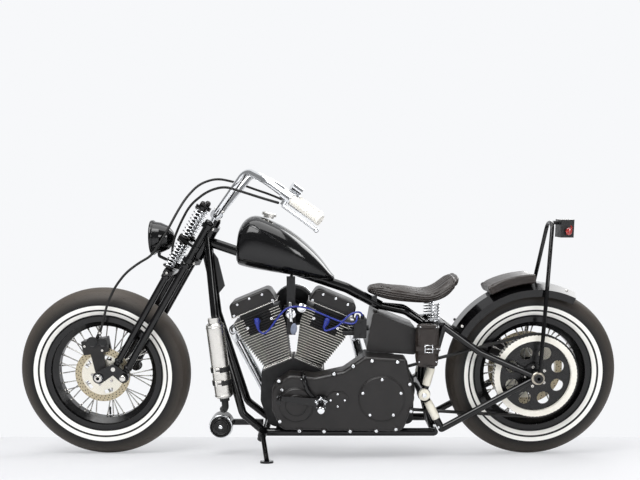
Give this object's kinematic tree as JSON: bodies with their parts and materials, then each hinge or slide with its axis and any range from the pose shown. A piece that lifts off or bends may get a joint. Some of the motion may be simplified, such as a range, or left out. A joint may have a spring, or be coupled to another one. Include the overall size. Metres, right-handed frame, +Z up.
{
  "type": "springer-fork bobber motorcycle",
  "caption": "Long, low bobber motorcycle with springer fork, V-twin engine, wire wheels, sprung solo seat, pillion pad and sissy bar, leaning on its side stand.",
  "frame": {"origin": "on the floor, at the centre of the bounding box of the parked machine", "axes": "+X towards the rear, +Y towards the machine's right, +Z up; the machine leans ten degrees to its left"},
  "size_m": [2.2848, 0.8068, 1.1006],
  "materials": {
    "black_leather": "oiled leather",
    "black_paint": "gloss black paint",
    "black_plastic": "moulded",
    "black_rubber": "matt rubber",
    "chrome": "bright chrome plate",
    "clear_glass": "clear",
    "cream_wall": "gloss",
    "engine_black": "wrinkle black paint",
    "polished_alloy": "polished cast alloy",
    "satin_steel": "ground steel",
    "white_rubber": "smooth white rubber",
    "whitewall_tyre": "tyre rubber"
  },
  "bodies": {
    "chassis": {"frame": "black_paint", "swingarm": "black_paint", "rear_axle": "satin_steel", "rear_brake": "polished_alloy", "fuel_tank": "black_paint", "filler_cap": "chrome", "crankcase": "engine_black", "front_cylinder": "engine_black", "rear_cylinder": "engine_black", "front_rocker_box": "engine_black", "rear_rocker_box": "engine_black", "pushrod_tubes": "chrome", "primary_cover": "black_paint", "gearbox": "engine_black", "cam_cover": "chrome", "carburettor": "polished_alloy", "exhaust_pipes": "chrome", "oil_tank": "black_paint", "ignition_coil": "black_plastic", "switch_panel": "chrome", "horn": "black_plastic", "canister": "polished_alloy", "tool_bag": "black_leather", "solo_seat": "black_leather", "seat_springs": "chrome", "rear_fender": "black_paint", "pillion_pad": "black_leather", "sissy_bar": "black_paint", "tail_lamp": "chrome", "drive_belt": "black_rubber", "left_foot_controls": "chrome", "right_foot_controls": "chrome"},
    "steering": {"triple_clamps": "black_paint", "rear_legs": "black_paint", "front_legs": "black_paint", "fork_springs": "black_paint", "rockers": "black_paint", "front_axle": "satin_steel", "front_brake": "polished_alloy", "handlebar": "chrome", "grips": "white_rubber", "hand_controls": "polished_alloy", "headlamp": "black_paint", "headlamp_lens": "clear_glass", "brake_hose": "black_rubber", "clutch_cable": "black_rubber"},
    "front_wheel": {"front_tyre": "whitewall_tyre", "front_rim": "chrome", "front_disc": "satin_steel"},
    "rear_wheel": {"rear_tyre": "whitewall_tyre", "rear_rim": "chrome", "rear_disc": "satin_steel", "rear_pulley": "cream_wall"},
    "side_stand": {"side_stand": "black_paint"}
  },
  "joints": [
    {"name": "steering", "type": "hinge", "parent": "chassis", "child": "steering", "pos_m": [-0.46263, -0.01328, 0.75532], "axis": [0.5075, -0.1496, 0.8485], "range_deg": [-32, 32]},
    {"name": "front_wheel_spin", "type": "hinge", "parent": "steering", "child": "front_wheel", "pos_m": [-0.8175, 0.06328, 0.32113], "axis": [0, 0.9848, 0.1736], "continuous": true},
    {"name": "rear_wheel_spin", "type": "hinge", "parent": "chassis", "child": "rear_wheel", "pos_m": [0.8175, 0.06328, 0.32113], "axis": [0, 0.9848, 0.1736], "continuous": true},
    {"name": "side_stand", "type": "hinge", "parent": "chassis", "child": "side_stand", "pos_m": [-0.207, -0.05672, 0.0918], "axis": [0.2505, -0.5659, 0.7855], "range_deg": [0, 75]}
  ]
}
